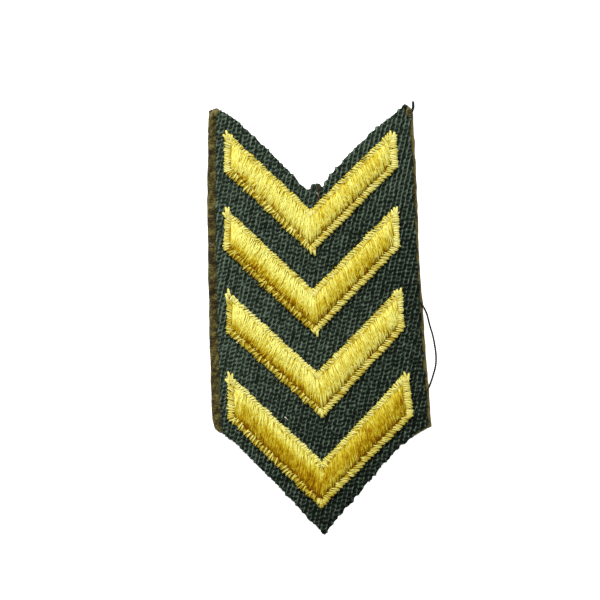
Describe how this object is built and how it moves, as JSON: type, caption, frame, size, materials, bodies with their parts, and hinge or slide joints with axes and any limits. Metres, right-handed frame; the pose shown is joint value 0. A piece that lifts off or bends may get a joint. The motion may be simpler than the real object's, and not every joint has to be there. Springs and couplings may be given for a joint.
{
  "type": "service stripe",
  "caption": "Flat pointed sleeve patch of dark green twill on an olive felt backing, with a V-notched top and padded gold chevrons, points down, each inside a stitched edging.",
  "frame": {"origin": "middle of the patch's outline, on the underside of its backing", "axes": "+Z out of the stitched face, +Y along the patch towards its notched end, +X to the right with the stitched face up and the notch away"},
  "size_m": [0.0522, 0.101, 0.0035],
  "materials": {
    "olive_felt": "matt brown-olive felt with short fibres",
    "green_twill": "matt dark green steep twill with raised ribs",
    "fill_thread": "satin gold-yellow embroidery thread",
    "edging_thread": "satin pale yellow embroidery thread"
  },
  "bodies": {
    "root": {"backing": "olive_felt", "ground_cloth": "green_twill", "chevron_edging_1": "edging_thread", "chevron_edging_2": "edging_thread", "chevron_edging_3": "edging_thread", "chevron_edging_4": "edging_thread", "chevron_fill_1": "fill_thread", "chevron_fill_2": "fill_thread", "chevron_fill_3": "fill_thread", "chevron_fill_4": "fill_thread"}
  },
  "joints": []
}
